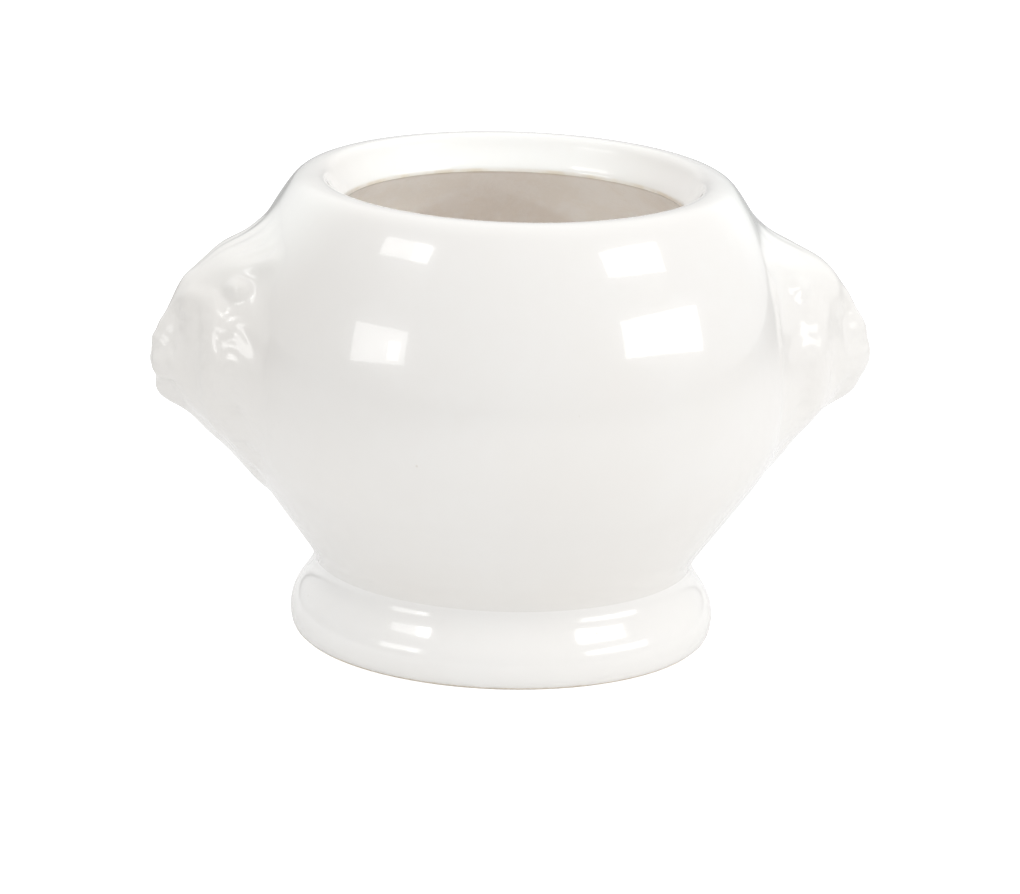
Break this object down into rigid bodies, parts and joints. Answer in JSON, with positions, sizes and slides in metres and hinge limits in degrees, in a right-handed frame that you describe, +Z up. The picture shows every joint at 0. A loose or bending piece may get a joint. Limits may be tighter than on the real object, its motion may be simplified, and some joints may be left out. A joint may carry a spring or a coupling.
{
  "type": "shaving bowl",
  "caption": "White porcelain shaving bowl: round footed body with a wide collared mouth and a lion-head lug on each side.",
  "frame": {"origin": "centre of the foot's bearing ring, on the surface the bowl stands on", "axes": "+X from the bowl's axis out through the lion head on the right, +Z up through the mouth"},
  "size_m": [0.1398, 0.1096, 0.09],
  "materials": {
    "body_glaze": "clear glossy glaze over white porcelain",
    "collar_glaze": "clear glossy glaze over white porcelain",
    "foot_glaze": "clear glossy glaze, left bare on the ring it stands on",
    "head_glaze": "clear glossy glaze pooled in moulded relief"
  },
  "bodies": {
    "root": {"bowl_body": "body_glaze", "mouth_collar": "collar_glaze", "pedestal_foot": "foot_glaze", "lion_head_left": "head_glaze", "lion_head_right": "head_glaze"}
  },
  "joints": []
}
